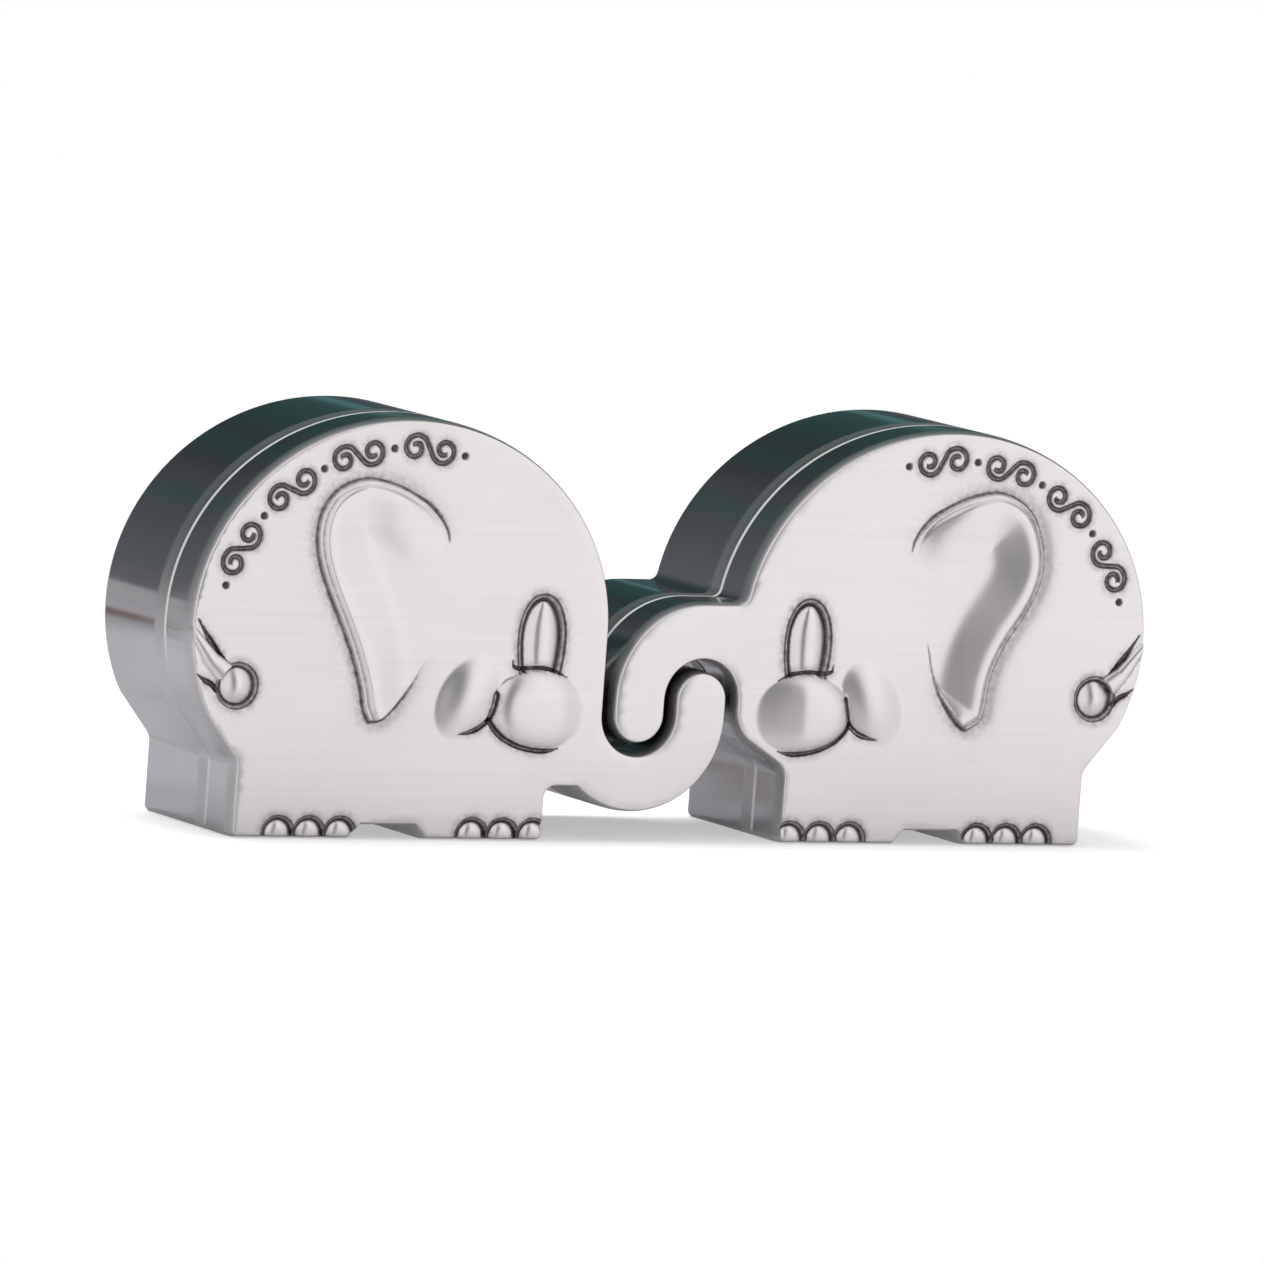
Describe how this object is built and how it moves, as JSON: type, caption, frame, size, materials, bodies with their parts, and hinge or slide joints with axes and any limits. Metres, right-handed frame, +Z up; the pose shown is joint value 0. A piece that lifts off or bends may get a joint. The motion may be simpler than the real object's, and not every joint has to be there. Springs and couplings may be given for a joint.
{
  "type": "keepsake box pair",
  "caption": "Elephant-shaped metal keepsake boxes with lift-off magnetic lids, standing nose to nose with hooked trunks.",
  "frame": {"origin": "on the floor, under the middle of the pair, half way between the two boxes and through their depth", "axes": "+X from the tooth box to the curl box, +Z up, the lids face -Y"},
  "size_m": [0.128, 0.025, 0.05],
  "materials": {
    "nickel_brushed": "brushed face with dark patina in the sunk lines",
    "nickel_polished": "polished plated walls",
    "magnet_nickel": "bright plated disc magnet",
    "velvet": "short dark velvet pile"
  },
  "bodies": {
    "tooth_box": {"tooth_tray": "nickel_polished", "tooth_tray_magnets": "magnet_nickel", "tooth_wall_lining": "velvet", "tooth_floor_pad": "velvet"},
    "tooth_cover": {"tooth_lid": "nickel_brushed", "tooth_lid_magnets": "magnet_nickel", "tooth_lid_pad": "velvet"},
    "curl_box": {"curl_tray": "nickel_polished", "curl_tray_magnets": "magnet_nickel", "curl_wall_lining": "velvet", "curl_floor_pad": "velvet"},
    "curl_cover": {"curl_lid": "nickel_brushed", "curl_lid_magnets": "magnet_nickel", "curl_lid_pad": "velvet"}
  },
  "joints": [
    {"name": "tooth_lid_pull", "type": "slide", "parent": "tooth_box", "child": "tooth_cover", "axis": [0, -1, 0], "range_m": [0, 0.035]},
    {"name": "curl_box_lift", "type": "slide", "parent": "tooth_box", "child": "curl_box", "axis": [0, 0, 1], "range_m": [0, 0.06]},
    {"name": "curl_lid_pull", "type": "slide", "parent": "curl_box", "child": "curl_cover", "axis": [0, -1, 0], "range_m": [0, 0.035]}
  ]
}
